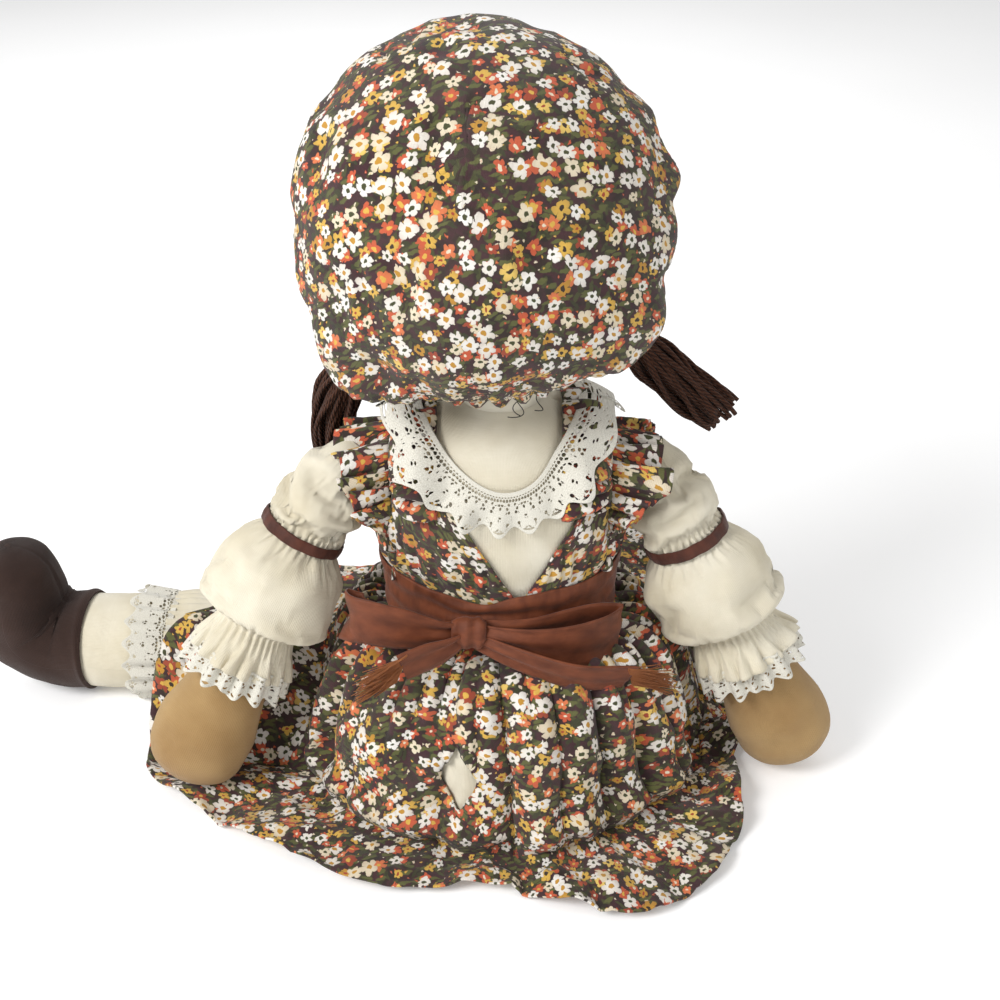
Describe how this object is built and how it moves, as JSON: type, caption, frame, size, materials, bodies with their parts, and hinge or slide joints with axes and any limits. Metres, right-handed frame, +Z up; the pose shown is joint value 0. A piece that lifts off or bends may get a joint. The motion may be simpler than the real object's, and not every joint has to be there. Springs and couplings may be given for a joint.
{
  "type": "rag doll",
  "caption": "Stuffed cloth rag doll sitting with splayed legs, in a print pinafore and cap with lace, sash bow and yarn pigtails; head, arms and legs move at sewn joints.",
  "frame": {"origin": "on the floor, at the middle of the flat underside of the seat", "axes": "+Z up, the doll faces -Y, its left side is +X"},
  "size_m": [0.5102, 0.4279, 0.4133],
  "materials": {
    "muslin": "plain woven cream cotton",
    "tan_cotton": "plain woven tan cotton",
    "filling": "loose white fibre",
    "print_cotton": "plain woven cotton with a small scattered flower print",
    "lace": "white cotton lace edging",
    "ribbon": "brown woven ribbon with a low sheen",
    "boot_cotton": "dark brown brushed cotton",
    "yarn": "dark brown spun yarn",
    "eye_thread": "black satin-stitched thread"
  },
  "bodies": {
    "torso": {"torso_skin": "muslin", "torso_stuffing": "filling", "bodice_front": "print_cotton", "bodice_back_left": "print_cotton", "bodice_back_right": "print_cotton", "lace_collar": "lace", "shoulder_strap_left": "print_cotton", "shoulder_strap_right": "print_cotton", "strap_ruffle_left": "print_cotton", "strap_ruffle_right": "print_cotton", "skirt": "print_cotton", "sash_band": "ribbon", "sash_bow": "ribbon"},
    "head": {"head_skin": "tan_cotton", "head_stuffing": "filling", "eye_left": "eye_thread", "eye_right": "eye_thread", "hair": "yarn", "cap_crown": "print_cotton", "cap_band": "print_cotton", "pigtail_left": "yarn", "pigtail_right": "yarn", "hair_tie_left": "yarn", "hair_tie_right": "yarn"},
    "arm_left": {"arm_skin_left": "tan_cotton", "arm_stuffing_left": "filling", "sleeve_left": "muslin", "sleeve_ribbon_left": "ribbon", "cuff_lace_left": "lace"},
    "leg_left": {"leg_skin_left": "muslin", "leg_stuffing_left": "filling", "pantalette_left": "muslin", "pantalette_lace_left": "lace", "boot_left": "boot_cotton"},
    "arm_right": {"arm_skin_right": "tan_cotton", "arm_stuffing_right": "filling", "sleeve_right": "muslin", "sleeve_ribbon_right": "ribbon", "cuff_lace_right": "lace"},
    "leg_right": {"leg_skin_right": "muslin", "leg_stuffing_right": "filling", "pantalette_right": "muslin", "pantalette_lace_right": "lace", "boot_right": "boot_cotton"}
  },
  "joints": [
    {"name": "head_nod", "type": "hinge", "parent": "torso", "child": "head", "pos_m": [0, 0, 0.248], "axis": [1, 0, 0], "range_deg": [-12, 18], "stiffness_Nm_per_rad": 0.5, "deforming": ["pigtail_left", "pigtail_right"]},
    {"name": "shoulder_left", "type": "hinge", "parent": "torso", "child": "arm_left", "pos_m": [0.0767, 0, 0.195], "axis": [0, -1, 0], "range_deg": [0, 60]},
    {"name": "shoulder_right", "type": "hinge", "parent": "torso", "child": "arm_right", "pos_m": [-0.0767, 0, 0.195], "axis": [0, 1, 0], "range_deg": [0, 60]},
    {"name": "hip_left", "type": "hinge", "parent": "torso", "child": "leg_left", "pos_m": [0.06295, -0.03862, 0.031], "axis": [-0.0872, -0.9962, 0], "range_deg": [0, 45], "deforming": ["skirt"]},
    {"name": "hip_right", "type": "hinge", "parent": "torso", "child": "leg_right", "pos_m": [-0.06295, -0.03862, 0.031], "axis": [-0.9903, -0.1392, 0], "range_deg": [0, 45], "deforming": ["skirt"]}
  ]
}
